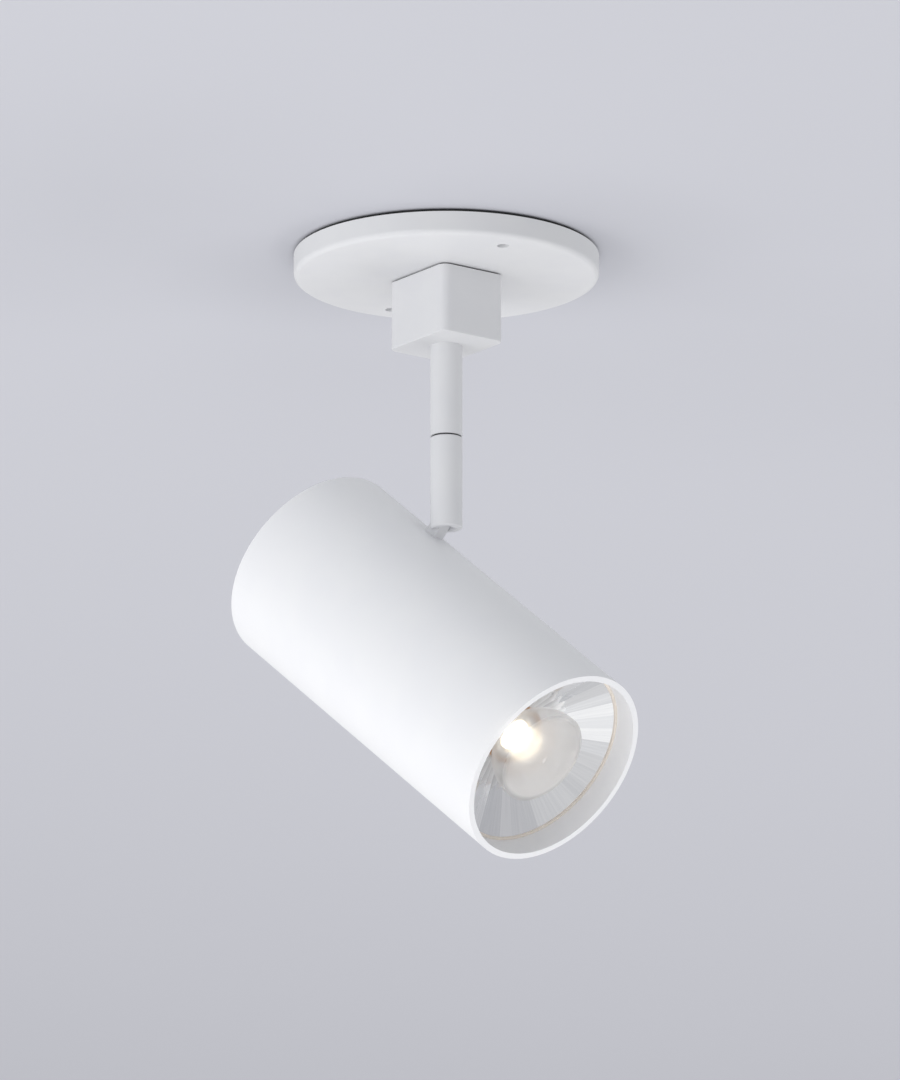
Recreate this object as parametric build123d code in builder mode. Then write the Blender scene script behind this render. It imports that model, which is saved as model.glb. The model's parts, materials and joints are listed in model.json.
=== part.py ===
from build123d import *
import os
from math import asin, cos, degrees, radians, sin

# Surface mounted ceiling spotlight: a round canopy, a small rectangular housing, a stem that
# swivels about the vertical, and a cylindrical head that tilts on a lug in the stem's slotted end.
# Millimetres and degrees. The origin is the middle of the canopy in the ceiling plane, +Z is up,
# and the housing's faces are square to X and Y.

# ------------------------------------------------------------------ driving sizes: canopy
gasket_thickness = 1.0
gasket_inset = 0.9
gasket_hole_land = 4.65
canopy_diameter = 114.3
canopy_height = 8.7
canopy_wall = 2.0
canopy_edge_radius = 1.9
mount_hole_spacing = 92.8
mount_hole_diameter = 4.5
mount_hole_angle = 80.2
mount_boss_diameter = 11.0
wiring_window_x = 15.0
wiring_window_y = 17.0

# ------------------------------------------------------------------ driving sizes: housing
box_size_x = 28.4
box_size_y = 34.7
box_height = 26.0
box_wall = 2.2
box_floor = 2.5
box_corner_radius = 3.3
box_bottom_fillet = 0.5
box_gap = 0.6
box_gap_inset = 1.0
box_boss_diameter = 5.4
box_boss_depth = 12.0
box_screw_diameter = 3.0
box_screw_length = 11.0
box_screw_head_diameter = 5.0
box_screw_head_height = 1.7
screw_clearance = 0.02

# ------------------------------------------------------------------ driving sizes: wiring
core_diameter = 1.1
core_pitch = 1.25
bracket_width = 14.0
bracket_thickness = 1.2
bracket_hole_diameter = 7.0
terminal_length = 19.0
terminal_width = 15.0
terminal_height = 11.0
terminal_screw_diameter = 3.0
terminal_screw_length = 6.0
terminal_screw_pitch = 7.5
earth_screw_diameter = 4.0
earth_screw_height = 3.2
earth_tag_thickness = 0.8
earth_position_x = -32.0

# ------------------------------------------------------------------ driving sizes: stem and swivel
stem_diameter = 12.0
stem_bore = 8.4
upper_stem_length = 35.0
lower_stem_length = 35.0
split_gap = 0.55
split_chamfer = 0.35
stem_end_chamfer = 0.5
spigot_diameter = 9.9
spigot_bore = 6.0
spigot_clearance = 0.05
spigot_thread_spare = 1.6
stem_washer_diameter = 16.0
stem_washer_thickness = 0.8
stem_nut_flats = 14.0
stem_nut_height = 3.2
bush_length = 8.0
bush_fit = 0.02
spindle_diameter = 6.0
spindle_bore = 3.4
spindle_head_diameter = 7.6
spindle_head_height = 1.5
spindle_grip = 10.0
running_clearance = 0.05
wave_washer_thickness = 0.5
split_washer_inset = 0.6
washer_play = 0.02
stop_tooth_width = 0.8
stop_tooth_height = 1.6
stop_pin_diameter = 0.8
stop_pin_depth = 0.8
stop_reach_radius = 2.4
swivel_from_home = 14.5

# ------------------------------------------------------------------ driving sizes: tilt
tilt_from_down = 50.1
pivot_above_end = 5.9
lug_thickness = 5.0
lug_eye_diameter = 5.6
lug_neck_back = 2.35
lug_height = 9.45
slot_side_room = 0.45
slot_end_room = 0.4
tilt_screw_diameter = 3.0
tilt_screw_head_diameter = 4.8
tilt_screw_head_height = 1.35
tilt_screw_socket = 1.5
tilt_screw_blind_wall = 1.2
tilt_washer_thickness = 0.4
stud_diameter = 4.4
stud_bore = 2.6
stud_spare = 1.0
lead_exit_height = 6.2
saddle_size = 12.0
saddle_depth = 2.4
lug_nut_flats = 8.0
lug_nut_height = 4.0

# ------------------------------------------------------------------ driving sizes: head
head_diameter = 77.6
head_length = 148.3
head_wall = 2.26
lug_from_front = 106.3
inner_play = 0.05
optic_depth = 9.6
optic_gasket_thickness = 0.8
optic_gasket_width = 1.0
reflector_facets = 36
reflector_lip = 0.9
reflector_wall = 1.0
reflector_back_depth = 23.2
reflector_back_diameter = 22.2
lens_diameter = 36.4
lens_edge_depth = 7.2
lens_edge_height = 1.0
lens_dome_rise = 2.0
lens_foot_diameter = 19.0
lens_belly = 3.4
lens_wall = 1.2
lens_ring_height = 1.2
lens_ring_play = 0.1
holder_diameter = 40.0
holder_window_diameter = 14.0
holder_thickness = 3.2
board_size = 22.0
board_thickness = 2.0
emitter_diameter = 12.0
emitter_thickness = 0.8
holder_screw_spacing = 32.0
holder_screw_diameter = 3.0
holder_screw_head_diameter = 5.2
holder_screw_head_height = 1.6
holder_screw_grip = 5.0
led_play = 0.05
sink_base = 8.0
sink_fin_count = 9
sink_fin_thickness = 1.6
sink_fin_diameter = 54.0
rod_diameter = 5.0
rod_circle_radius = 31.5
rod_count = 3
cap_thickness = 3.0
cap_recess = 0.4
cap_screw_diameter = 3.0
cap_screw_head_diameter = 5.6
cap_screw_socket = 2.0
cap_screw_socket_depth = 1.1
cap_screw_grip = 8.0
tray_thickness = 1.5
tray_width = 46.0
tray_height = 15.0
driver_length = 62.0
driver_width = 38.0
driver_height = 26.0
driver_from_flange = 8.0
driver_end_room = 7.0
driver_corner_radius = 2.0
driver_ear_thickness = 2.0
driver_ear_length = 6.0
driver_ear_width = 10.0
driver_screw_diameter = 3.0
driver_screw_head_diameter = 5.2
driver_screw_head_height = 1.6
lead_hole_diameter = 4.0
lead_hole_offset = 12.5
rod_stud_diameter = 3.0
rod_stud_length = 5.0

# ------------------------------------------------------------------ places worked out from the sizes
canopy_radius = canopy_diameter / 2
gasket_inner_radius = (mount_hole_spacing - mount_hole_diameter) / 2 - gasket_hole_land
canopy_top_z = -gasket_thickness
canopy_inner_z = canopy_top_z - canopy_height + canopy_wall
canopy_bottom_z = canopy_top_z - canopy_height
box_top_z = canopy_bottom_z - box_gap
box_bottom_z = box_top_z - box_height
box_floor_z = box_bottom_z + box_floor
split_top_z = box_bottom_z - upper_stem_length
split_bottom_z = split_top_z - split_gap
stem_end_z = split_bottom_z - lower_stem_length
pivot_z = stem_end_z + pivot_above_end
stem_radius = stem_diameter / 2

azimuth = radians(-90 + swivel_from_home)
tilt = radians(tilt_from_down)
head_side = Vector(cos(azimuth), sin(azimuth), 0)
head_axis = head_side * sin(tilt) - Vector(0, 0, 1) * cos(tilt)
lug_axis = head_side * -cos(tilt) - Vector(0, 0, 1) * sin(tilt)
cross_axis = Vector(-sin(azimuth), cos(azimuth), 0)
pivot = Vector(0, 0, pivot_z)
head_radius = head_diameter / 2
bore_radius = head_radius - head_wall
front_centre = pivot + lug_axis * (head_radius + lug_height) + head_axis * lug_from_front

head_front = Plane(origin=front_centre, x_dir=lug_axis, z_dir=head_axis * -1)
pivot_side = Plane(origin=pivot, x_dir=lug_axis, z_dir=cross_axis)
pivot_across = Plane(origin=pivot, x_dir=head_side, z_dir=cross_axis)


def at_height(z):
    """A level plane at height z."""
    return Plane.XY.offset(z)


def at_depth(depth):
    """A plane across the head, this far behind its front rim, local X away from the stem."""
    return head_front.offset(depth)


def on_stem(z):
    """A level plane with local X towards the side that the head points to."""
    return Plane(origin=(0, 0, z), x_dir=head_side, z_dir=(0, 0, 1))


def finish(piece, name):
    """Name a finished piece and write it."""
    piece.part.label = name
    export_step(piece.part, f"parts/{name}.step")


os.makedirs("parts", exist_ok=True)

# ------------------------------------------------------------------ canopy
mount_holes = PolarLocations(mount_hole_spacing / 2, 2, mount_hole_angle)

with BuildPart() as ceiling_gasket:
    with BuildSketch(at_height(canopy_top_z)):
        Circle(canopy_radius - gasket_inset)
        Circle(gasket_inner_radius, mode=Mode.SUBTRACT)
        with mount_holes:
            Circle(mount_hole_diameter / 2, mode=Mode.SUBTRACT)
    extrude(amount=gasket_thickness)
finish(ceiling_gasket, "ceiling_gasket")

box_screw_inset = box_wall + box_boss_diameter / 2 - 1.0
box_screw_places = GridLocations(
    box_size_x - 2 * box_screw_inset, box_size_y - 2 * box_screw_inset, 2, 2
)

with BuildPart() as canopy:
    with BuildSketch(at_height(canopy_bottom_z)):
        Circle(canopy_radius)
    extrude(amount=canopy_height)
    fillet(canopy.faces().sort_by(Axis.Z)[0].edges(), canopy_edge_radius)
    with BuildSketch(at_height(canopy_inner_z)):
        Circle(canopy_radius - canopy_wall)
        with mount_holes:
            Circle(mount_boss_diameter / 2, mode=Mode.SUBTRACT)
    extrude(amount=canopy_height, mode=Mode.SUBTRACT)
    with BuildSketch(at_height(canopy_bottom_z)):
        with mount_holes:
            Circle(mount_hole_diameter / 2)
        with box_screw_places:
            Circle(box_screw_diameter / 2 + screw_clearance)
        Rectangle(wiring_window_x, wiring_window_y)
    extrude(amount=canopy_height, mode=Mode.SUBTRACT)
finish(canopy, "canopy")

with BuildPart() as earth_terminal:
    with BuildSketch(at_height(canopy_inner_z)):
        with Locations((earth_position_x, 0)):
            Circle(earth_screw_diameter)
    extrude(amount=earth_tag_thickness)
    with BuildSketch(at_height(canopy_inner_z)):
        with Locations((earth_position_x, 0)):
            Circle(earth_screw_diameter / 2)
    extrude(amount=earth_screw_height)
finish(earth_terminal, "earth_terminal")

# ------------------------------------------------------------------ rectangular housing
with BuildPart() as box_gasket:
    with BuildSketch(at_height(box_top_z)):
        RectangleRounded(
            box_size_x - 2 * box_gap_inset,
            box_size_y - 2 * box_gap_inset,
            box_corner_radius - box_gap_inset,
        )
        Rectangle(wiring_window_x, wiring_window_y, mode=Mode.SUBTRACT)
        with box_screw_places:
            Circle(box_screw_diameter / 2 + screw_clearance, mode=Mode.SUBTRACT)
    extrude(amount=box_gap)
finish(box_gasket, "box_gasket")

with BuildPart() as box_housing:
    with BuildSketch(at_height(box_bottom_z)):
        RectangleRounded(box_size_x, box_size_y, box_corner_radius)
    extrude(amount=box_height)
    fillet(box_housing.faces().sort_by(Axis.Z)[0].edges(), box_bottom_fillet)
    with BuildSketch(at_height(box_floor_z)):
        RectangleRounded(
            box_size_x - 2 * box_wall, box_size_y - 2 * box_wall, box_corner_radius - box_wall
        )
    extrude(amount=box_height, mode=Mode.SUBTRACT)
    with BuildSketch(at_height(box_top_z - box_boss_depth)):
        with box_screw_places:
            Circle(box_boss_diameter / 2)
    extrude(amount=box_boss_depth)
    with BuildSketch(at_height(box_top_z - box_boss_depth)):
        with box_screw_places:
            Circle(box_screw_diameter / 2 + screw_clearance)
    extrude(amount=box_boss_depth, mode=Mode.SUBTRACT)
    with BuildSketch(at_height(box_bottom_z)):
        Circle(spigot_diameter / 2 + spigot_clearance)
    extrude(amount=box_floor, mode=Mode.SUBTRACT)
finish(box_housing, "box_housing")

with BuildPart() as box_screws:
    with BuildSketch(at_height(canopy_inner_z)):
        with box_screw_places:
            Circle(box_screw_head_diameter / 2)
    extrude(amount=box_screw_head_height)
    with BuildSketch(at_height(canopy_inner_z - box_screw_length)):
        with box_screw_places:
            Circle(box_screw_diameter / 2)
    extrude(amount=box_screw_length)
finish(box_screws, "box_screws")

# ------------------------------------------------------------------ terminal block on its bridge
bridge_z = box_floor_z + stem_washer_thickness + stem_nut_height + spigot_thread_spare + 0.6
bridge_length = box_size_y - 2 * box_wall - 2 * inner_play

with BuildPart() as terminal_bracket:
    with BuildSketch(at_height(bridge_z)):
        Rectangle(bracket_width, bridge_length)
        Circle(bracket_hole_diameter / 2, mode=Mode.SUBTRACT)
    extrude(amount=bracket_thickness)
    with BuildSketch(at_height(box_floor_z)):
        with GridLocations(0, bridge_length - bracket_thickness, 1, 2):
            Rectangle(bracket_width, bracket_thickness)
    extrude(amount=bridge_z - box_floor_z)
finish(terminal_bracket, "terminal_bracket")

terminal_z = bridge_z + bracket_thickness
terminal_screw_places = GridLocations(terminal_screw_pitch, terminal_length / 2, 2, 2)

with BuildPart() as terminal_block:
    with BuildSketch(at_height(terminal_z)):
        RectangleRounded(terminal_width, terminal_length, 1.0)
    extrude(amount=terminal_height)
    with BuildSketch(at_height(terminal_z + terminal_height - terminal_screw_length)):
        with terminal_screw_places:
            Circle(terminal_screw_diameter / 2 + screw_clearance)
    extrude(amount=terminal_screw_length, mode=Mode.SUBTRACT)
    with BuildSketch(at_height(terminal_z)):
        with GridLocations(core_pitch, 0, 2, 1):
            Circle(core_diameter / 2 + screw_clearance)
    extrude(amount=terminal_height / 3, mode=Mode.SUBTRACT)
finish(terminal_block, "terminal_block")

with BuildPart() as terminal_screws:
    with BuildSketch(at_height(terminal_z + terminal_height - terminal_screw_length)):
        with terminal_screw_places:
            Circle(terminal_screw_diameter / 2)
    extrude(amount=terminal_screw_length - 1.0)
finish(terminal_screws, "terminal_screws")

# ------------------------------------------------------------------ upper stem and its fixing
spigot_length = box_floor + stem_washer_thickness + stem_nut_height + spigot_thread_spare
spigot_top_z = box_bottom_z + spigot_length
bore_top_z = box_bottom_z - 3.0
stop_z = split_top_z + bush_length + wave_washer_thickness + spindle_head_height
stop_z = stop_z + 2 * washer_play + stop_tooth_height / 2
home_back = azimuth - radians(swivel_from_home) + radians(180)
stop_side = Vector(cos(home_back), sin(home_back), 0)
stop_plane = Plane(
    origin=Vector(0, 0, stop_z) + stop_side * stop_reach_radius, x_dir=(0, 0, 1), z_dir=stop_side
)

with BuildPart() as upper_stem:
    with BuildSketch(at_height(split_top_z)):
        Circle(stem_radius)
    extrude(amount=upper_stem_length)
    with BuildSketch(at_height(box_bottom_z)):
        Circle(spigot_diameter / 2)
    extrude(amount=spigot_length)
    with BuildSketch(at_height(split_top_z)):
        Circle(stem_bore / 2)
    extrude(amount=bore_top_z - split_top_z, mode=Mode.SUBTRACT)
    with BuildSketch(at_height(bore_top_z)):
        Circle(spigot_bore / 2)
    extrude(amount=spigot_top_z - bore_top_z, mode=Mode.SUBTRACT)
    with BuildSketch(stop_plane):
        Circle(stop_pin_diameter / 2)
    extrude(amount=stem_bore / 2 - stop_reach_radius + stop_pin_depth, mode=Mode.SUBTRACT)
finish(upper_stem, "upper_stem")

with BuildPart() as stem_washer:
    with BuildSketch(at_height(box_floor_z)):
        Circle(stem_washer_diameter / 2)
        Circle(spigot_diameter / 2 + spigot_clearance, mode=Mode.SUBTRACT)
    extrude(amount=stem_washer_thickness)
finish(stem_washer, "stem_washer")

with BuildPart() as stem_nut:
    with BuildSketch(at_height(box_floor_z + stem_washer_thickness)):
        RegularPolygon(stem_nut_flats / 2, 6, major_radius=False)
        Circle(spigot_diameter / 2 + spigot_clearance, mode=Mode.SUBTRACT)
    extrude(amount=stem_nut_height)
finish(stem_nut, "stem_nut")

with BuildPart() as stop_pin:
    with BuildSketch(stop_plane):
        Circle(stop_pin_diameter / 2)
    extrude(amount=stem_bore / 2 - stop_reach_radius + stop_pin_depth)
finish(stop_pin, "stop_pin")

# ------------------------------------------------------------------ swivel
bush_inner = spindle_diameter / 2 + running_clearance
bush_top_z = split_top_z + bush_length
head_bottom_z = bush_top_z + wave_washer_thickness + 2 * washer_play
head_top_z = head_bottom_z + spindle_head_height

with BuildPart() as swivel_bush:
    with BuildSketch(at_height(split_top_z)):
        Circle(stem_bore / 2 - bush_fit)
        Circle(bush_inner, mode=Mode.SUBTRACT)
    extrude(amount=bush_length)
finish(swivel_bush, "swivel_bush")

with BuildPart() as wave_washer:
    with BuildSketch(at_height(bush_top_z + washer_play)):
        Circle(spindle_head_diameter / 2)
        Circle(bush_inner, mode=Mode.SUBTRACT)
    extrude(amount=wave_washer_thickness)
finish(wave_washer, "wave_washer")

with BuildPart() as swivel_washer:
    with BuildSketch(at_height(split_bottom_z + washer_play)):
        Circle(stem_radius - split_washer_inset)
        Circle(bush_inner, mode=Mode.SUBTRACT)
    extrude(amount=split_gap - 2 * washer_play)
finish(swivel_washer, "swivel_washer")

with BuildPart() as spindle:
    with BuildSketch(at_height(split_bottom_z - spindle_grip)):
        Circle(spindle_diameter / 2)
    extrude(amount=head_bottom_z - split_bottom_z + spindle_grip)
    with BuildSketch(at_height(head_bottom_z)):
        Circle(spindle_head_diameter / 2)
    extrude(amount=spindle_head_height)
    with BuildSketch(on_stem(head_top_z)):
        Circle(spindle_head_diameter / 2)
        Circle(stop_reach_radius, mode=Mode.SUBTRACT)
        with Locations((stem_diameter / 2, 0)):
            Rectangle(stem_diameter, stop_tooth_width, mode=Mode.INTERSECT)
    extrude(amount=stop_tooth_height)
    with BuildSketch(at_height(split_bottom_z - spindle_grip)):
        Circle(spindle_bore / 2)
    extrude(amount=stem_diameter * 2, mode=Mode.SUBTRACT)
finish(spindle, "spindle")

pin_half_angle = degrees(asin(stop_pin_diameter / 2 / stop_reach_radius))
tooth_half_angle = degrees(asin(stop_tooth_width / 2 / stop_reach_radius))
print("swivel reaches", round(180 - pin_half_angle - tooth_half_angle, 2), "degrees each way")

# ------------------------------------------------------------------ lower stem, slotted for the lug
slot_width = lug_thickness + 2 * slot_side_room
lug_end_radius = lug_eye_diameter / 2
slot_reach = lug_end_radius + slot_end_room
slot_roof_z = pivot_z + slot_reach

with BuildPart() as lower_stem:
    with BuildSketch(at_height(stem_end_z)):
        Circle(stem_radius)
    extrude(amount=lower_stem_length)
    chamfer(lower_stem.faces().sort_by(Axis.Z)[-1].edges(), split_chamfer)
    chamfer(lower_stem.faces().sort_by(Axis.Z)[0].edges(), stem_end_chamfer)
    with BuildSketch(at_height(stem_end_z)):
        Circle(spindle_bore / 2)
    extrude(amount=lower_stem_length, mode=Mode.SUBTRACT)
    with BuildSketch(at_height(split_bottom_z - spindle_grip)):
        Circle(spindle_diameter / 2 + bush_fit)
    extrude(amount=spindle_grip, mode=Mode.SUBTRACT)
    with BuildSketch(on_stem(stem_end_z)):
        with Locations((slot_reach - stem_diameter, 0)):
            Rectangle(stem_diameter * 2, slot_width)
    extrude(amount=slot_roof_z - stem_end_z, mode=Mode.SUBTRACT)
    with BuildSketch(pivot_across.offset(tilt_screw_blind_wall - stem_radius)):
        Circle(tilt_screw_diameter / 2 + screw_clearance)
    extrude(amount=stem_diameter, mode=Mode.SUBTRACT)
    screw_head_seat = stem_radius - 0.5 - tilt_screw_head_height
    with BuildSketch(pivot_across.offset(screw_head_seat)):
        Circle(tilt_screw_head_diameter / 2 + screw_clearance)
    extrude(amount=stem_diameter, mode=Mode.SUBTRACT)
finish(lower_stem, "lower_stem")

with BuildPart() as tilt_screw:
    with BuildSketch(pivot_across.offset(tilt_screw_blind_wall - stem_radius)):
        Circle(tilt_screw_diameter / 2)
    extrude(amount=screw_head_seat + stem_radius - tilt_screw_blind_wall)
    with BuildSketch(pivot_across.offset(screw_head_seat)):
        Circle(tilt_screw_head_diameter / 2)
    extrude(amount=tilt_screw_head_height)
    with BuildSketch(pivot_across.offset(screw_head_seat + tilt_screw_head_height)):
        RegularPolygon(tilt_screw_socket / 2, 6, major_radius=False)
    extrude(amount=-tilt_screw_head_height, mode=Mode.SUBTRACT)
finish(tilt_screw, "tilt_screw")

washer_offset = slot_width / 2 - tilt_washer_thickness - washer_play
with BuildPart() as tilt_washers:
    with BuildSketch(pivot_across.offset(washer_offset)):
        Circle(lug_end_radius)
        Circle(tilt_screw_diameter / 2 + running_clearance, mode=Mode.SUBTRACT)
    extrude(amount=tilt_washer_thickness)
    with BuildSketch(pivot_across.offset(-washer_offset)):
        Circle(lug_end_radius)
        Circle(tilt_screw_diameter / 2 + running_clearance, mode=Mode.SUBTRACT)
    extrude(amount=-tilt_washer_thickness)
finish(tilt_washers, "tilt_washers")

# ------------------------------------------------------------------ lug and its fixing in the tube
neck_width = lug_end_radius + lug_neck_back
neck_offset = (lug_neck_back - lug_end_radius) / 2
stud_end = lug_height + head_wall + saddle_depth + lug_nut_height + stud_spare

with BuildPart() as head_lug:
    with BuildSketch(pivot_side.offset(-lug_thickness / 2)):
        Circle(lug_end_radius)
        with Locations((lug_height, neck_offset)):
            Rectangle(lug_height * 2, neck_width)
    extrude(amount=lug_thickness)
    with BuildSketch(head_front):
        Circle(head_radius)
    extrude(amount=head_length, mode=Mode.SUBTRACT)
    with BuildSketch(Plane(origin=pivot + lug_axis * (lug_height - 1), z_dir=lug_axis)):
        Circle(stud_diameter / 2)
    extrude(amount=stud_end - lug_height + 1)
    with BuildSketch(pivot_side.offset(-lug_thickness / 2)):
        Circle(tilt_screw_diameter / 2 + running_clearance)
    extrude(amount=lug_thickness, mode=Mode.SUBTRACT)
    with BuildSketch(Plane(origin=pivot + lug_axis * lead_exit_height, z_dir=lug_axis)):
        Circle(stud_bore / 2)
    extrude(amount=stud_end - lead_exit_height, mode=Mode.SUBTRACT)
    with BuildSketch(Plane(origin=pivot + lug_axis * lead_exit_height, z_dir=head_axis * -1)):
        Circle(stud_bore / 2)
    extrude(amount=lug_eye_diameter, mode=Mode.SUBTRACT)
finish(head_lug, "head_lug")

lug_place = front_centre - head_axis * lug_from_front
saddle_face = bore_radius - saddle_depth
saddle_plane = Plane(origin=lug_place - lug_axis * saddle_face, x_dir=head_axis, z_dir=lug_axis * -1)

with BuildPart() as saddle_washer:
    with BuildSketch(saddle_plane):
        Rectangle(saddle_size, saddle_size)
        Circle(stud_diameter / 2 + running_clearance, mode=Mode.SUBTRACT)
    extrude(amount=saddle_depth * 2)
    with BuildSketch(head_front):
        Circle(bore_radius - inner_play)
    extrude(amount=head_length, mode=Mode.INTERSECT)
finish(saddle_washer, "saddle_washer")

with BuildPart() as lug_nut:
    with BuildSketch(saddle_plane):
        RegularPolygon(lug_nut_flats / 2, 6, major_radius=False)
        Circle(stud_diameter / 2 + running_clearance, mode=Mode.SUBTRACT)
    extrude(amount=-lug_nut_height)
finish(lug_nut, "lug_nut")

# ------------------------------------------------------------------ head tube
with BuildPart() as head_tube:
    with BuildSketch(head_front):
        Circle(head_radius)
        Circle(bore_radius, mode=Mode.SUBTRACT)
    extrude(amount=head_length)
    with BuildSketch(saddle_plane):
        Circle(stud_diameter / 2 + running_clearance)
    extrude(amount=head_radius, mode=Mode.SUBTRACT)
finish(head_tube, "head_tube")

# ------------------------------------------------------------------ optic
optic_radius = bore_radius - inner_play
rim_depth = optic_depth + optic_gasket_thickness
facet_half_angle = radians(180 / reflector_facets)

with BuildPart() as optic_gasket:
    with BuildSketch(at_depth(optic_depth)):
        Circle(optic_radius)
        Circle(optic_radius - optic_gasket_width, mode=Mode.SUBTRACT)
    extrude(amount=optic_gasket_thickness)
finish(optic_gasket, "optic_gasket")


def facet_ring(depth, radius):
    """The facets' polygon at a depth in the head."""
    with BuildSketch(at_depth(depth)) as ring:
        RegularPolygon(radius, reflector_facets)
    return ring.sketch


facet_front_radius = optic_radius - reflector_lip
facet_back_radius = reflector_back_diameter / 2
facet_spread = (facet_front_radius - facet_back_radius) / (reflector_back_depth - rim_depth)

with BuildPart() as reflector:
    loft([
        facet_ring(rim_depth + reflector_wall, facet_front_radius),
        facet_ring(reflector_back_depth, facet_back_radius + reflector_wall * facet_spread),
    ])
    with BuildSketch(at_depth(rim_depth)):
        Circle(optic_radius)
    extrude(amount=reflector_wall)
    loft(
        [
            facet_ring(rim_depth, facet_front_radius),
            facet_ring(reflector_back_depth, facet_back_radius),
        ],
        mode=Mode.SUBTRACT,
    )
finish(reflector, "reflector")

# the lens is a cup turned about the head's axis: local X is the radius, local Y the depth
lens_section = Plane(origin=front_centre, x_dir=lug_axis, z_dir=cross_axis)
lens_radius = lens_diameter / 2
foot_radius = lens_foot_diameter / 2
lens_foot_depth = reflector_back_depth
lens_edge_back = lens_edge_depth + lens_edge_height
lens_apex_depth = lens_edge_depth - lens_dome_rise


def dome_depth(radius, apex_depth):
    """The depth of the front dome's surface, or of its inside, at a radius."""
    curve = (lens_radius**2 + lens_dome_rise**2) / (2 * lens_dome_rise)
    return apex_depth + curve - (curve**2 - radius**2) ** 0.5


def lens_outline(inset):
    """Half the cup's section, this far inside its outer surface."""
    rim, foot, apex = lens_radius - inset, foot_radius - inset, lens_apex_depth + inset
    rim_front = dome_depth(rim, apex)
    rim_back = lens_edge_back + inset
    side_middle = ((rim + foot + lens_belly) / 2, (rim_back + lens_foot_depth + lens_belly) / 2)
    with BuildSketch(lens_section) as half:
        with BuildLine():
            Polyline((0, apex), (0, lens_foot_depth), (foot, lens_foot_depth))
            ThreePointArc((foot, lens_foot_depth), side_middle, (rim, rim_back))
            Line((rim, rim_back), (rim, rim_front))
            ThreePointArc((rim, rim_front), (rim / 2, dome_depth(rim / 2, apex)), (0, apex))
        make_face()
    return half.sketch


with BuildPart() as lens:
    revolve(lens_outline(0), axis=Axis(front_centre, head_axis * -1))
    revolve(lens_outline(lens_wall), axis=Axis(front_centre, head_axis * -1), mode=Mode.SUBTRACT)
finish(lens, "lens")

with BuildPart() as lens_ring:
    with BuildSketch(at_depth(reflector_back_depth - lens_ring_height)):
        Circle(facet_back_radius * cos(facet_half_angle) - lens_ring_play)
    extrude(amount=lens_ring_height)
    revolve(lens_outline(0), axis=Axis(front_centre, head_axis * -1), mode=Mode.SUBTRACT)
finish(lens_ring, "lens_ring")

# ------------------------------------------------------------------ light source
holder_depth = reflector_back_depth
board_depth = holder_depth + holder_thickness - board_thickness
sink_depth = holder_depth + holder_thickness
holder_screw_places = GridLocations(0, holder_screw_spacing, 1, 2)

with BuildPart() as led_holder:
    with BuildSketch(at_depth(holder_depth)):
        Circle(holder_diameter / 2)
        Circle(holder_window_diameter / 2, mode=Mode.SUBTRACT)
        with holder_screw_places:
            Circle(holder_screw_diameter / 2 + screw_clearance, mode=Mode.SUBTRACT)
    extrude(amount=holder_thickness)
    with BuildSketch(at_depth(board_depth - led_play)):
        Rectangle(board_size + 2 * led_play, board_size + 2 * led_play)
    extrude(amount=board_thickness + led_play, mode=Mode.SUBTRACT)
    with BuildSketch(at_depth(holder_depth)):
        with holder_screw_places:
            Circle(holder_screw_head_diameter / 2 + screw_clearance)
    extrude(amount=holder_screw_head_height, mode=Mode.SUBTRACT)
finish(led_holder, "led_holder")

with BuildPart() as led_board:
    with BuildSketch(at_depth(board_depth)):
        Rectangle(board_size, board_size)
    extrude(amount=board_thickness)
finish(led_board, "led_board")

with BuildPart() as led_emitter:
    with BuildSketch(at_depth(board_depth - emitter_thickness)):
        Circle(emitter_diameter / 2)
    extrude(amount=emitter_thickness)
finish(led_emitter, "led_emitter")

with BuildPart() as led_holder_screws:
    with BuildSketch(at_depth(holder_depth)):
        with holder_screw_places:
            Circle(holder_screw_head_diameter / 2)
    extrude(amount=holder_screw_head_height)
    with BuildSketch(at_depth(holder_depth)):
        with holder_screw_places:
            Circle(holder_screw_diameter / 2)
    extrude(amount=holder_thickness + holder_screw_grip)
finish(led_holder_screws, "led_holder_screws")

# ------------------------------------------------------------------ heat sink and rear structure
rod_start = sink_depth + sink_base
cap_outer_depth = head_length - cap_recess
cap_inner_depth = cap_outer_depth - cap_thickness
rod_places = PolarLocations(rod_circle_radius, rod_count)

# the driver sits ahead of the rear cap, and the fins take the length that is left
driver_end = cap_inner_depth - driver_end_room - driver_ear_length
driver_start = driver_end - driver_length
flange_end = driver_start - driver_from_flange
fin_end = flange_end - tray_thickness
sink_fin_length = fin_end - rod_start

with BuildPart() as heat_sink:
    with BuildSketch(at_depth(sink_depth)):
        Circle(optic_radius)
        with holder_screw_places:
            Circle(holder_screw_diameter / 2 + screw_clearance, mode=Mode.SUBTRACT)
        with rod_places:
            Circle(rod_stud_diameter / 2 + screw_clearance, mode=Mode.SUBTRACT)
        with Locations((lead_hole_offset, lead_hole_offset)):
            Circle(lead_hole_diameter / 2, mode=Mode.SUBTRACT)
    extrude(amount=sink_base)
    with BuildSketch(at_depth(rod_start)):
        fin_span = sink_fin_diameter - sink_fin_thickness * 2
        with GridLocations(0, fin_span / (sink_fin_count - 1), 1, sink_fin_count):
            Rectangle(sink_fin_diameter, sink_fin_thickness)
        Circle(sink_fin_diameter / 2, mode=Mode.INTERSECT)
        with Locations((lead_hole_offset, lead_hole_offset)):
            Circle(lead_hole_diameter / 2, mode=Mode.SUBTRACT)
    extrude(amount=sink_fin_length)
finish(heat_sink, "heat_sink")

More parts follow.
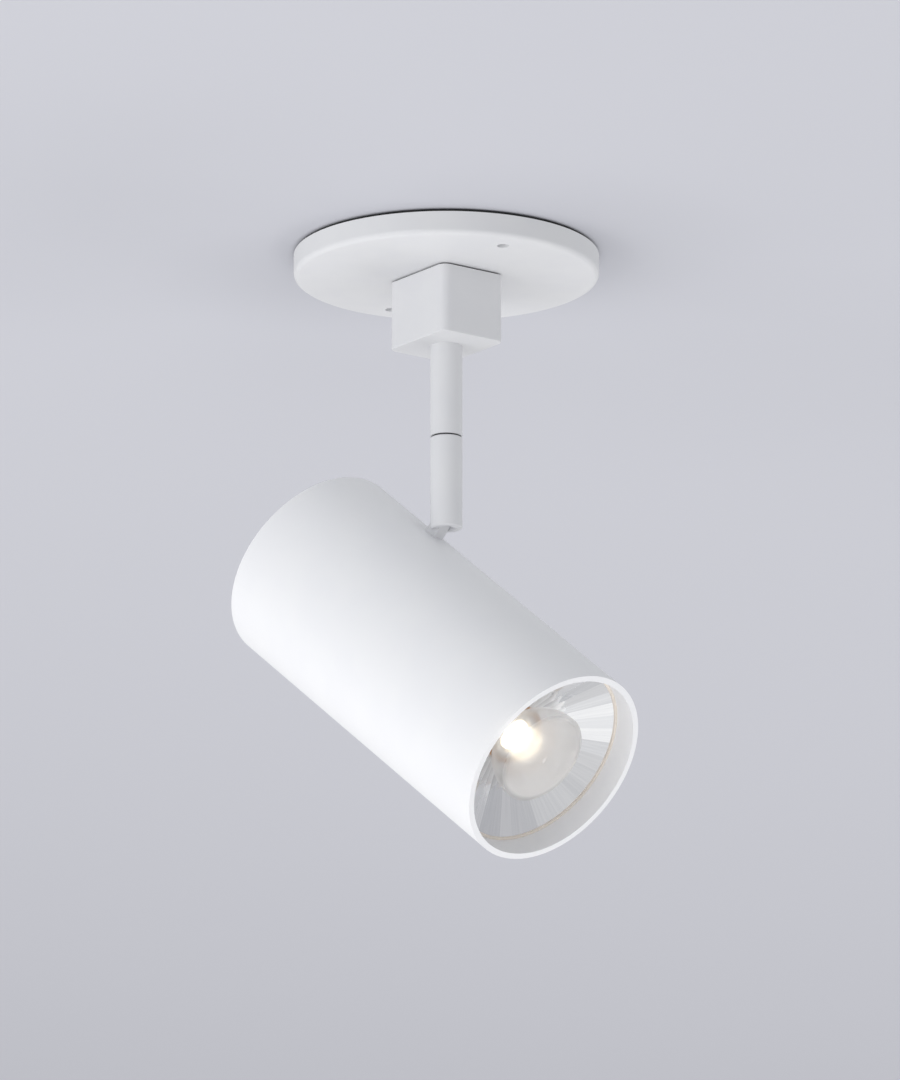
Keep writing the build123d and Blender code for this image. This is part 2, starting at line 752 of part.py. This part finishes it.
with BuildPart() as tie_rods:
    with BuildSketch(at_depth(rod_start)):
        with rod_places:
            Circle(rod_diameter / 2)
    extrude(amount=cap_inner_depth - rod_start)
    with BuildSketch(at_depth(rod_start)):
        with rod_places:
            Circle(rod_stud_diameter / 2)
    extrude(amount=-rod_stud_length)
    with BuildSketch(at_depth(cap_inner_depth)):
        with rod_places:
            Circle(cap_screw_diameter / 2 + screw_clearance)
    extrude(amount=-cap_screw_grip, mode=Mode.SUBTRACT)
finish(tie_rods, "tie_rods")

countersink = (cap_screw_head_diameter - cap_screw_diameter) / 2

with BuildPart() as rear_cap:
    with BuildSketch(at_depth(cap_inner_depth)):
        Circle(optic_radius)
    extrude(amount=cap_thickness)
    with Locations(at_depth(cap_outer_depth)):
        with PolarLocations(rod_circle_radius, rod_count):
            CounterSinkHole(
                cap_screw_diameter / 2 + screw_clearance,
                cap_screw_head_diameter / 2 + screw_clearance,
                depth=cap_thickness * 2,
                counter_sink_angle=90,
            )
finish(rear_cap, "rear_cap")

with BuildPart() as rear_cap_screws:
    with BuildSketch(at_depth(cap_outer_depth)):
        with rod_places:
            Circle(cap_screw_head_diameter / 2)
    extrude(amount=-countersink, taper=45)
    with BuildSketch(at_depth(cap_outer_depth)):
        with rod_places:
            Circle(cap_screw_diameter / 2)
    extrude(amount=-cap_thickness - cap_screw_grip + 0.5)
    with BuildSketch(at_depth(cap_outer_depth)):
        with rod_places:
            RegularPolygon(cap_screw_socket / 2, 6, major_radius=False)
    extrude(amount=-cap_screw_socket_depth, mode=Mode.SUBTRACT)
finish(rear_cap_screws, "rear_cap_screws")

# ------------------------------------------------------------------ driver on its tray
tray_plane_x = tray_height + tray_thickness / 2
ear_screw_depths = (driver_start - driver_ear_length / 2, driver_end + driver_ear_length / 2)

with BuildPart() as driver_tray:
    with BuildSketch(at_depth(fin_end)):
        with Locations((tray_plane_x, 0)):
            Rectangle(tray_thickness, tray_width)
    extrude(amount=cap_inner_depth - fin_end)
    with BuildSketch(at_depth(fin_end)):
        Rectangle(tray_height * 2, tray_width)
        with Locations((lead_hole_offset, lead_hole_offset)):
            Circle(lead_hole_diameter / 2, mode=Mode.SUBTRACT)
    extrude(amount=tray_thickness)
    for depth in ear_screw_depths:
        with BuildSketch(Plane(origin=front_centre - head_axis * depth, z_dir=lug_axis)):
            Circle(driver_screw_diameter / 2 + screw_clearance)
        extrude(amount=tray_height * 2, mode=Mode.SUBTRACT)
finish(driver_tray, "driver_tray")

with BuildPart() as driver:
    with BuildSketch(at_depth(driver_start)):
        with Locations((tray_height - driver_height / 2, 0)):
            RectangleRounded(driver_height, driver_width, driver_corner_radius)
    extrude(amount=driver_length)
    with BuildSketch(at_depth(driver_start - driver_ear_length)):
        with Locations((tray_height - driver_ear_thickness / 2, 0)):
            Rectangle(driver_ear_thickness, driver_ear_width)
    extrude(amount=driver_length + 2 * driver_ear_length)
    for depth in ear_screw_depths:
        with BuildSketch(Plane(origin=front_centre - head_axis * depth, z_dir=lug_axis)):
            Circle(driver_screw_diameter / 2 + screw_clearance)
        extrude(amount=tray_height * 2, mode=Mode.SUBTRACT)
finish(driver, "driver")

with BuildPart() as driver_screws:
    for depth in ear_screw_depths:
        ear_face = front_centre - head_axis * depth + lug_axis * (tray_height - driver_ear_thickness)
        with BuildSketch(Plane(origin=ear_face, z_dir=lug_axis)):
            Circle(driver_screw_head_diameter / 2)
        extrude(amount=-driver_screw_head_height)
        with BuildSketch(Plane(origin=ear_face, z_dir=lug_axis)):
            Circle(driver_screw_diameter / 2)
        extrude(amount=driver_ear_thickness + tray_thickness + 1.0)
finish(driver_screws, "driver_screws")

# ------------------------------------------------------------------ leads held inside the parts
core_places = GridLocations(core_pitch, 0, 2, 1)
lead_gap = 0.3

with BuildPart() as supply_leads:
    with BuildSketch(at_height(head_top_z + lead_gap)):
        with core_places:
            Circle(core_diameter / 2)
    extrude(amount=terminal_z + terminal_height / 3 - head_top_z - lead_gap)
finish(supply_leads, "supply_leads")

with BuildPart() as stem_leads:
    with BuildSketch(on_stem(slot_roof_z)):
        with core_places:
            Circle(core_diameter / 2)
    extrude(amount=head_top_z - slot_roof_z)
finish(stem_leads, "stem_leads")

lead_turn = pivot + lug_axis * lead_exit_height
driver_face = head_radius + lug_height + tray_height - driver_height
with BuildPart() as head_leads:
    with BuildSketch(Plane(origin=lead_turn, x_dir=cross_axis, z_dir=lug_axis)):
        with core_places:
            Circle(core_diameter / 2)
    extrude(amount=driver_face - lead_exit_height)
    with BuildSketch(Plane(origin=lead_turn, x_dir=cross_axis, z_dir=head_axis * -1)):
        with core_places:
            Circle(core_diameter / 2)
    extrude(amount=lug_end_radius)
finish(head_leads, "head_leads")

with BuildPart() as led_leads:
    with BuildSketch(at_depth(sink_depth)):
        with Locations((lead_hole_offset, lead_hole_offset)):
            with GridLocations(core_pitch, 0, 2, 1):
                Circle(core_diameter / 2)
    extrude(amount=driver_start - sink_depth)
finish(led_leads, "led_leads")
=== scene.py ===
import json
import math

import bpy
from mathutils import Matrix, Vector

# A white ceiling spotlight seen from below, on a plain pale stage. Lengths are metres.

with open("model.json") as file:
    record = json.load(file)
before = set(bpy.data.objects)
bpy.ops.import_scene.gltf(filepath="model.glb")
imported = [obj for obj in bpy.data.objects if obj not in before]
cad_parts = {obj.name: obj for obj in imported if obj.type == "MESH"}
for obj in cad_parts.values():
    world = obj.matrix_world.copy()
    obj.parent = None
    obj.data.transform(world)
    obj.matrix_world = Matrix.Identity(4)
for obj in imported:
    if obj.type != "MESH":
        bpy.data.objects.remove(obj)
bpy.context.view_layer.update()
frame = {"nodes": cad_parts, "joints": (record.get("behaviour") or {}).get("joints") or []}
nodes = frame["nodes"]

MM = 0.001

# ------------------------------------------------------------------ the head's own directions
joints = {joint["name"]: joint for joint in frame["joints"]}
SWIVEL_FROM_HOME = math.radians(14.5)
TILT_FROM_DOWN = math.radians(50.1)
HEAD_RADIUS = 38.8 * MM
LUG_HEIGHT = 9.45 * MM
LUG_FROM_FRONT = 106.3 * MM

pivot = Vector(joints["head_tilt"]["pos_m"])
azimuth = math.radians(-90) + SWIVEL_FROM_HOME
head_side = Vector((math.cos(azimuth), math.sin(azimuth), 0))
up = Vector((0, 0, 1))
head_axis = head_side * math.sin(TILT_FROM_DOWN) - up * math.cos(TILT_FROM_DOWN)
lug_axis = head_side * -math.cos(TILT_FROM_DOWN) - up * math.sin(TILT_FROM_DOWN)
cross_axis = Vector((-math.sin(azimuth), math.cos(azimuth), 0))
front_centre = pivot + lug_axis * (HEAD_RADIUS + LUG_HEIGHT) + head_axis * LUG_FROM_FRONT


# ------------------------------------------------------------------ camera
CAMERA_PLACE = Vector((-2.0457, -2.7548, -1.0441))
CAMERA_TURN = math.radians(36.62)
CAMERA_PITCH = math.radians(15.21)
FOCAL_PIXELS = 9574.4
FRAME_HEIGHT_PIXELS = 1080
SENSOR_HEIGHT_MM = 24.0
FURTHEST_SEEN = 60.0


def make_camera():
    """The photograph's viewpoint: a long lens, 3.6 m away, looking up."""
    data = bpy.data.cameras.new("camera")
    data.sensor_fit = "VERTICAL"
    data.sensor_height = SENSOR_HEIGHT_MM
    data.lens = FOCAL_PIXELS / FRAME_HEIGHT_PIXELS * SENSOR_HEIGHT_MM
    data.clip_end = FURTHEST_SEEN
    camera = bpy.data.objects.new("camera", data)
    bpy.context.scene.collection.objects.link(camera)
    camera.location = CAMERA_PLACE
    camera.rotation_euler = (math.radians(90) + CAMERA_PITCH, 0, -CAMERA_TURN)
    bpy.context.scene.camera = camera


make_camera()


# ------------------------------------------------------------------ material building
NOISE_LOW = 0.3  # most of a noise's values lie from here
NOISE_HIGH = 0.7  # to here
MIX_FACTOR, MIX_FIRST, MIX_SECOND, MIX_RESULT = 0, 6, 7, 2  # a mix node's sockets for colours


class NodeMaker:
    """A node tree under construction, with short names for the nodes used here."""

    def __init__(self, tree, place):
        self.tree = tree
        self.place = self.node("ShaderNodeTexCoord").outputs[place]

    def node(self, kind, **settings):
        made = self.tree.nodes.new(kind)
        for key, value in settings.items():
            setattr(made, key, value)
        return made

    def link(self, source, target):
        self.tree.links.new(source, target)

    def feed(self, target, value):
        """Sets a socket to a number or joins it to another socket."""
        if isinstance(value, bpy.types.NodeSocket):
            self.link(value, target)
        else:
            target.default_value = value

    def math(self, operation, *values, clamp=False):
        made = self.node("ShaderNodeMath", operation=operation, use_clamp=clamp)
        for socket, value in zip(made.inputs, values):
            self.feed(socket, value)
        return made.outputs[0]

    def noise(self, size, detail=3.0, roughness=0.5, place=None):
        """Noise with features about this many metres across."""
        made = self.node("ShaderNodeTexNoise")
        made.inputs["Scale"].default_value = 1 / size
        made.inputs["Detail"].default_value = detail
        made.inputs["Roughness"].default_value = roughness
        self.link(place or self.place, made.inputs["Vector"])
        return made.outputs["Fac"]

    def stretch(self, value, low, high, out_low, out_high):
        """A value between two limits, smoothly stretched over another range."""
        made = self.node("ShaderNodeMapRange", interpolation_type="SMOOTHSTEP")
        for socket, number in zip(made.inputs, (value, low, high, out_low, out_high)):
            self.feed(socket, number)
        return made.outputs[0]

    def spread(self, noise, out_low, out_high):
        """A noise's usual values, spread over a range."""
        return self.stretch(noise, NOISE_LOW, NOISE_HIGH, out_low, out_high)

    def mix(self, factor, first, second):
        """A colour between two, each a colour or a socket."""
        made = self.node("ShaderNodeMix", data_type="RGBA")
        self.feed(made.inputs[MIX_FACTOR], factor)
        for place, value in ((MIX_FIRST, first), (MIX_SECOND, second)):
            colour = value if isinstance(value, bpy.types.NodeSocket) else (*value, 1.0)
            self.feed(made.inputs[place], colour)
        return made.outputs[MIX_RESULT]

    def along(self, axis, origin=Vector((0, 0, 0))):
        """The distance along an axis from an origin."""
        dot = self.node("ShaderNodeVectorMath", operation="DOT_PRODUCT")
        self.link(self.place, dot.inputs[0])
        dot.inputs[1].default_value = axis
        return self.math("SUBTRACT", dot.outputs["Value"], origin.dot(axis))


class Shader(NodeMaker):
    """A material under construction."""

    def __init__(self, name):
        self.material = bpy.data.materials.new(name)
        self.material.use_nodes = True
        super().__init__(self.material.node_tree, "Object")
        self.surface = self.tree.nodes["Principled BSDF"]
        self.output = self.tree.nodes["Material Output"]

    def in_head(self):
        """The place in the head: across and sideways from its axis, out from it, behind the rim."""
        across = self.along(lug_axis, front_centre)
        sideways = self.along(cross_axis, front_centre)
        squares = (self.math("POWER", value, 2) for value in (across, sideways))
        radius = self.math("SQRT", self.math("ADD", *squares))
        return across, sideways, radius, self.along(head_axis * -1, front_centre)

    def bump(self, height, depth, strength=1.0):
        """Relief this many metres deep, from a height of 0 to 1."""
        made = self.node("ShaderNodeBump")
        made.inputs["Strength"].default_value = strength
        made.inputs["Distance"].default_value = depth
        self.link(height, made.inputs["Height"])
        self.link(made.outputs["Normal"], self.surface.inputs["Normal"])

    def set(self, **sockets):
        """Sets sockets of the surface by name, with _ for a space."""
        for key, value in sockets.items():
            name = key.replace("_", " ")
            socket = self.surface.inputs[name]
            if isinstance(value, tuple) and len(value) == 3:
                value = (*value, 1.0)
            self.feed(socket, value)


def dress(material, *names):
    """Gives CAD nodes a material."""
    for name in names:
        mesh = nodes[name].data
        mesh.materials.clear()
        mesh.materials.append(material)


def coat_material(name, colour, shade, roughness):
    """Matt powder coat: a very fine orange peel, and a slightly uneven colour."""
    shader = Shader(name)
    clouds = shader.stretch(shader.noise(18 * MM, 2.0), 0.35, 0.65, 0.0, 1.0)
    shader.set(Base_Color=shader.mix(clouds, colour, shade))
    peel = shader.noise(0.55 * MM, 2.0)
    grain = shader.noise(0.16 * MM, 1.0)
    shader.set(Roughness=shader.spread(grain, roughness - 0.04, roughness + 0.04), IOR=1.45)
    relief = shader.math("ADD", peel, shader.math("MULTIPLY", grain, 0.35))
    shader.bump(relief, 0.012 * MM, 0.5)
    return shader.material


def foam_material():
    """Black closed-cell foam with open pores on its cut edge."""
    shader = Shader("black_foam")
    pores = shader.noise(0.5 * MM, 4.0)
    colour = shader.mix(shader.spread(pores, 0.0, 1.0), (0.008, 0.008, 0.009), (0.03, 0.03, 0.033))
    shader.set(Base_Color=colour, Roughness=0.95)
    shader.bump(pores, 0.12 * MM, 0.8)
    return shader.material


def plastic_material(name, colour, shade, roughness):
    """Moulded plastic with a faint spark-eroded grain."""
    shader = Shader(name)
    grain = shader.noise(0.3 * MM, 3.0)
    blotch = shader.noise(6 * MM, 2.0)
    shader.set(Base_Color=shader.mix(shader.spread(blotch, 0.0, 1.0), colour, shade))
    shader.set(Roughness=shader.spread(grain, roughness - 0.05, roughness + 0.05))
    shader.bump(grain, 0.01 * MM, 0.6)
    return shader.material


def metal_material(name, colour, shade, roughness, grain_axis):
    """Machined metal: fine lines round an axis, with small changes of gloss."""
    shader = Shader(name)
    lines = shader.node("ShaderNodeTexNoise", noise_dimensions="1D")
    lines.inputs["Scale"].default_value = 1 / (0.12 * MM)
    lines.inputs["Detail"].default_value = 3.0
    shader.link(shader.along(grain_axis), lines.inputs["W"])
    line = lines.outputs["Fac"]
    dull = shader.noise(4 * MM, 4.0)
    shader.set(Base_Color=shader.mix(shader.spread(dull, 0.0, 1.0), colour, shade), Metallic=1.0)
    shader.set(Roughness=shader.spread(line, roughness - 0.06, roughness + 0.08))
    shader.bump(line, 0.006 * MM, 0.5)
    return shader.material


def lead_material():
    """Pale glossy lead insulation, slightly scuffed."""
    shader = Shader("lead_insulation")
    scuff = shader.noise(1.5 * MM, 4.0)
    shade = shader.stretch(scuff, 0.35, 0.65, 0.0, 1.0)
    shader.set(Base_Color=shader.mix(shade, (0.62, 0.62, 0.60), (0.50, 0.50, 0.48)))
    shader.set(Roughness=shader.spread(scuff, 0.3, 0.45))
    shader.bump(scuff, 0.01 * MM, 0.4)
    return shader.material


FACETS = 36
FACET_SEED = 3.0
LINES_RADIUS = 28 * MM  # the lines are those of a cylinder this large
LINES_DRAWN_OUT = 0.07  # how little they change along it


def reflector_material():
    """Vacuum-metallised plastic. Each facet's tone is a painted reflection, random from facet to
    facet, standing in for the different light the facets reflect; faint lines run down the cone.
    """
    shader = Shader("bright_metal")
    across, sideways, radius, depth = shader.in_head()
    angle = shader.math("ARCTAN2", sideways, across)
    facet = shader.math("FLOOR", shader.math("MULTIPLY", angle, FACETS / (2 * math.pi)))
    # painted reflection: a random tone for each facet stands in for the light that each facet
    # reflects
    painted_facet_reflection = shader.node("ShaderNodeTexWhiteNoise", noise_dimensions="1D")
    shader.link(shader.math("ADD", facet, FACET_SEED), painted_facet_reflection.inputs["W"])
    lines_place = shader.node("ShaderNodeCombineXYZ")
    for socket, value in zip(lines_place.inputs, (across, sideways)):
        on_cylinder = shader.math("MULTIPLY", shader.math("DIVIDE", value, radius), LINES_RADIUS)
        shader.link(on_cylinder, socket)
    shader.link(shader.math("MULTIPLY", depth, LINES_DRAWN_OUT), lines_place.inputs["Z"])
    lines = shader.noise(0.9 * MM, 2.0, place=lines_place.outputs[0])
    streaks = shader.spread(lines, -0.2, 0.2)
    # the painted facet reflections, with lighter and darker streaks down the cone, set the metal's
    # colour
    painted_reflection_and_streaks = shader.math("ADD", painted_facet_reflection.outputs["Value"], streaks, clamp=True)
    colour = shader.mix(painted_reflection_and_streaks, (0.94, 0.945, 0.955), (0.80, 0.81, 0.83))
    shader.set(Base_Color=colour, Metallic=1.0)
    shader.set(Roughness=shader.spread(shader.noise(3 * MM, 3.0), 0.06, 0.11))
    shader.bump(lines, 0.010 * MM, 1.0)
    return shader.material


DOME_EDGE = (15.6 * MM, 17.6 * MM)  # the dome gives way to the side over these radii
DOME_FOOT = (8.6 * MM, 9.4 * MM)  # and over these depths behind the rim
DOME_COVER = 0.5
SIDE_COVER = (0.25, 0.7)  # seen square on, and at a slant
SLANT = (0.3, 1.0)
DOME_MILK = 0.08
SIDE_MILK = 0.03


def lens_material():
    """Moulded lens: its dome is frosted and glows a little, and its side is clearer."""
    shader = Shader("frosted_lens")
    _, _, radius, depth = shader.in_head()
    side = shader.stretch(radius, *DOME_EDGE, 0.0, 1.0)
    side = shader.math("MAXIMUM", side, shader.stretch(depth, *DOME_FOOT, 0.0, 1.0))
    slant = shader.node("ShaderNodeLayerWeight")
    slant.inputs["Blend"].default_value = 0.5
    skin = shader.stretch(slant.outputs["Facing"], *SLANT, *SIDE_COVER)
    clearer = shader.math("MULTIPLY", side, shader.math("SUBTRACT", skin, DOME_COVER))
    shader.set(Alpha=shader.math("ADD", clearer, DOME_COVER))
    cloud = shader.noise(5 * MM, 2.0)
    shader.set(Base_Color=(0.97, 0.975, 0.98), IOR=1.45, Transmission_Weight=0.92)
    shader.set(Roughness=shader.spread(cloud, 0.30, 0.35))
    shader.bump(cloud, 0.005 * MM, 0.3)
    milk = shader.node("ShaderNodeBsdfTranslucent")
    milk.inputs["Color"].default_value = (1.0, 0.94, 0.88, 1.0)
    both = shader.node("ShaderNodeMixShader")
    less = shader.math("MULTIPLY", side, DOME_MILK - SIDE_MILK)
    shader.link(shader.math("SUBTRACT", DOME_MILK, less), both.inputs[0])
    shader.link(shader.surface.outputs[0], both.inputs[1])
    shader.link(milk.outputs[0], both.inputs[2])
    shader.link(both.outputs[0], shader.output.inputs["Surface"])
    return shader.material


EMISSION = 2.6


def emitter_material():
    """The lit phosphor disc, faintly mottled."""
    shader = Shader("warm_phosphor")
    cells = shader.spread(shader.noise(0.6 * MM, 2.0), 0.0, 1.0)
    warm = shader.mix(cells, (1.0, 0.90, 0.70), (1.0, 0.86, 0.64))
    shader.set(Base_Color=warm, Roughness=0.5, Emission_Color=warm, Emission_Strength=EMISSION)
    return shader.material


def rubber_material(name, colour, shade):
    """Moulded silicone ring, faintly mottled."""
    shader = Shader(name)
    mottle = shader.noise(1.2 * MM, 3.0)
    mottled = shader.mix(shader.spread(mottle, 0.0, 1.0), colour, shade)
    shader.set(Base_Color=mottled, Roughness=0.55)
    shader.bump(mottle, 0.02 * MM, 0.5)
    return shader.material


# each material's own numbers are its colour, its shade and, where it varies, its roughness
white_coat = coat_material("white_coat", (0.74, 0.745, 0.76), (0.725, 0.73, 0.75), 0.5)
dress(white_coat, "canopy", "box_housing", "upper_stem", "lower_stem", "head_lug")
# painted light: the head wears a lighter copy of the same white coat, because the head is lit more
# than the canopy, box and stem
head_coat_painted_lit = coat_material("white_coat_painted_lit", (0.885, 0.89, 0.905), (0.875, 0.88, 0.90), 0.45)
dress(head_coat_painted_lit, "head_tube", "rear_cap")
dress(foam_material(), "ceiling_gasket", "box_gasket")
black_plastic = plastic_material("black_plastic", (0.015, 0.015, 0.016), (0.02, 0.02, 0.021), 0.45)
dress(black_plastic, "swivel_washer")
pale_plastic = plastic_material("pale_plastic", (0.78, 0.78, 0.75), (0.74, 0.74, 0.71), 0.42)
dress(pale_plastic, "terminal_block", "tilt_washers", "driver")
white_plastic = plastic_material("white_plastic", (0.92, 0.91, 0.89), (0.90, 0.89, 0.87), 0.40)
dress(white_plastic, "led_holder")
zinc = metal_material("zinc_steel", (0.60, 0.61, 0.63), (0.50, 0.51, 0.53), 0.32, up)
dress(zinc, "box_screws", "stem_washer", "stem_nut", "stop_pin", "tilt_screw", "saddle_washer")
dress(zinc, "lug_nut", "led_holder_screws", "tie_rods", "driver_screws", "driver_tray")
dress(zinc, "terminal_bracket", "wave_washer", "spindle", "rear_cap_screws")
brass = metal_material("brass", (0.72, 0.53, 0.25), (0.62, 0.44, 0.20), 0.30, up)
dress(brass, "earth_terminal", "terminal_screws", "swivel_bush")
aluminium = metal_material(
    "bare_aluminium", (0.66, 0.67, 0.69), (0.58, 0.59, 0.61), 0.38, head_axis
)
dress(aluminium, "heat_sink", "led_board")
dress(lead_material(), "supply_leads", "stem_leads", "head_leads", "led_leads")
dress(reflector_material(), "reflector")
dress(lens_material(), "lens")
dress(emitter_material(), "led_emitter")
tan_silicone = rubber_material("tan_silicone", (0.88, 0.81, 0.73), (0.83, 0.76, 0.68))
dress(tan_silicone, "optic_gasket")
brown_silicone = rubber_material("brown_silicone", (0.62, 0.34, 0.18), (0.54, 0.29, 0.15))
dress(brown_silicone, "lens_ring")


# ------------------------------------------------------------------ stage and light
STAGE_SIZE = 14.0
CEILING_ABOVE = 0.3 * MM
CEILING_COLOUR = (0.55, 0.556, 0.60)
FLOOR_HEIGHT = -2.5
FLOOR_COLOUR = (0.86, 0.86, 0.865)
PAINT_CLOUDS = 0.4
PAINT_SHADE = 0.985


def plane(name, size, z, facing_down):
    """A level square, facing down or up."""
    mesh = bpy.data.meshes.new(name)
    half = size / 2
    corners = [(-half, -half, z), (half, -half, z), (half, half, z), (-half, half, z)]
    face = (3, 2, 1, 0) if facing_down else (0, 1, 2, 3)
    mesh.from_pydata(corners, [], [face])
    made = bpy.data.objects.new(name, mesh)
    bpy.context.scene.collection.objects.link(made)
    return made


def stage_material(name, colour, one_sided):
    """Plain matt paint. A one-sided surface is clear from behind, so that it hides nothing."""
    shader = Shader(name)
    shade = tuple(channel * PAINT_SHADE for channel in colour)
    shader.set(Base_Color=shader.mix(shader.noise(PAINT_CLOUDS, 2.0), colour, shade), Roughness=0.9)
    if one_sided:
        clear = shader.node("ShaderNodeBsdfTransparent")
        choose = shader.node("ShaderNodeMixShader")
        behind = shader.node("ShaderNodeNewGeometry").outputs["Backfacing"]
        shader.link(behind, choose.inputs[0])
        shader.link(shader.surface.outputs[0], choose.inputs[1])
        shader.link(clear.outputs[0], choose.inputs[2])
        shader.link(choose.outputs[0], shader.output.inputs["Surface"])
    return shader.material


def make_stage():
    """The ceiling, clear from above, and a floor. They shade nothing: only the camera sees them."""
    ceiling = plane("ceiling", STAGE_SIZE, CEILING_ABOVE, True)
    ceiling.data.materials.append(stage_material("ceiling_paint", CEILING_COLOUR, True))
    floor = plane("floor", STAGE_SIZE, FLOOR_HEIGHT, False)
    floor.data.materials.append(stage_material("floor_paint", FLOOR_COLOUR, False))
    for part in (ceiling, floor):
        part.visible_diffuse = part.visible_glossy = False
        part.visible_transmission = part.visible_shadow = False


def view_direction(right, toward, upward):
    """A direction given as seen in the photograph: right, towards the camera, and up."""
    turn = CAMERA_TURN
    x_side = Vector((math.cos(turn), -math.sin(turn), 0))
    y_side = Vector((-math.sin(turn), -math.cos(turn), 0))
    return (x_side * right + y_side * toward + up * upward).normalized()


def from_bearing(bearing, elevation):
    """A direction by its degrees from towards the camera, rightwards, and above level."""
    turn, rise = math.radians(bearing), math.radians(elevation)
    level = math.cos(rise)
    return view_direction(math.sin(turn) * level, math.cos(turn) * level, math.sin(rise))


LAMP_CENTRE = Vector((0, 0, -0.12))
LAMP_DISTANCE = 2.2
LAMP_SIZE = 1.2
LAMPS = (  # bearing, elevation and watts
    (315, -20, 8.8),
    (292, -20, 8.5),
    (0, -90, 7.0),
    (135, -42, 5.6),
    (90, -42, 3.6),
    (0, -42, 3.0),
    (270, -65, 1.8),
    (225, -42, 0.9),
)


def area_light(name, direction, watts):
    """A soft round white lamp that doesn't show in the bright metal."""
    data = bpy.data.lights.new(name, "AREA")
    data.shape = "DISK"
    data.size = LAMP_SIZE
    data.energy = watts
    made = bpy.data.objects.new(name, data)
    bpy.context.scene.collection.objects.link(made)
    made.location = LAMP_CENTRE + direction * LAMP_DISTANCE
    made.rotation_euler = (direction * -1).to_track_quat("-Z", "Y").to_euler()
    made.visible_glossy = made.visible_camera = False


BLOOM = (("Threshold", 1.0), ("Strength", 1.0), ("Size", 0.5))


def make_bloom():
    """The soft halo that a lens gives a lit lamp."""
    scene = bpy.context.scene
    scene.use_nodes = True
    tree = scene.node_tree
    tree.nodes.clear()
    picture = tree.nodes.new("CompositorNodeRLayers")
    bloom = tree.nodes.new("CompositorNodeGlare")
    bloom.glare_type = "BLOOM"
    bloom.quality = "HIGH"
    for name, value in BLOOM:
        bloom.inputs[name].default_value = value
    result = tree.nodes.new("CompositorNodeComposite")
    tree.links.new(picture.outputs["Image"], bloom.inputs["Image"])
    tree.links.new(bloom.outputs["Image"], result.inputs["Image"])


ROOM_LOWER = (0.65, 0.65, 0.66)
ROOM_HORIZON = (0.50, 0.50, 0.52)
ROOM_UPPER = (0.62, 0.63, 0.65)
HORIZON_FADE = (-0.40, -0.05)
UPPER_FADE = (-0.02, 0.02)
PANEL_COLOUR = (0.98, 0.98, 0.98)
PANEL_DIRECTION = (0.10, 0.0, -1.0)
PANEL_ANGLES = (18, 25)  # where it starts to fade, and where it ends


def make_room():
    """The room's light: a lower half, dimmer at the horizon, an upper half, and a panel below."""
    world = bpy.data.worlds.new("room")
    world.use_nodes = True
    maker = NodeMaker(world.node_tree, "Generated")
    height = maker.along(up)
    room = maker.mix(maker.stretch(height, *HORIZON_FADE, 0.0, 1.0), ROOM_LOWER, ROOM_HORIZON)
    room = maker.mix(maker.stretch(height, *UPPER_FADE, 0.0, 1.0), room, ROOM_UPPER)
    nearness = maker.along(view_direction(*PANEL_DIRECTION))
    inside, outside = (math.cos(math.radians(angle)) for angle in PANEL_ANGLES)
    room = maker.mix(maker.stretch(nearness, outside, inside, 0.0, 1.0), room, PANEL_COLOUR)
    maker.link(room, world.node_tree.nodes["Background"].inputs["Color"])
    bpy.context.scene.world = world


make_stage()
make_room()
for bearing, elevation, watts in LAMPS:
    area_light(f"lamp_{bearing}_{-elevation}", from_bearing(bearing, elevation), watts)
make_bloom()
bpy.context.scene.view_settings.view_transform = "Standard"
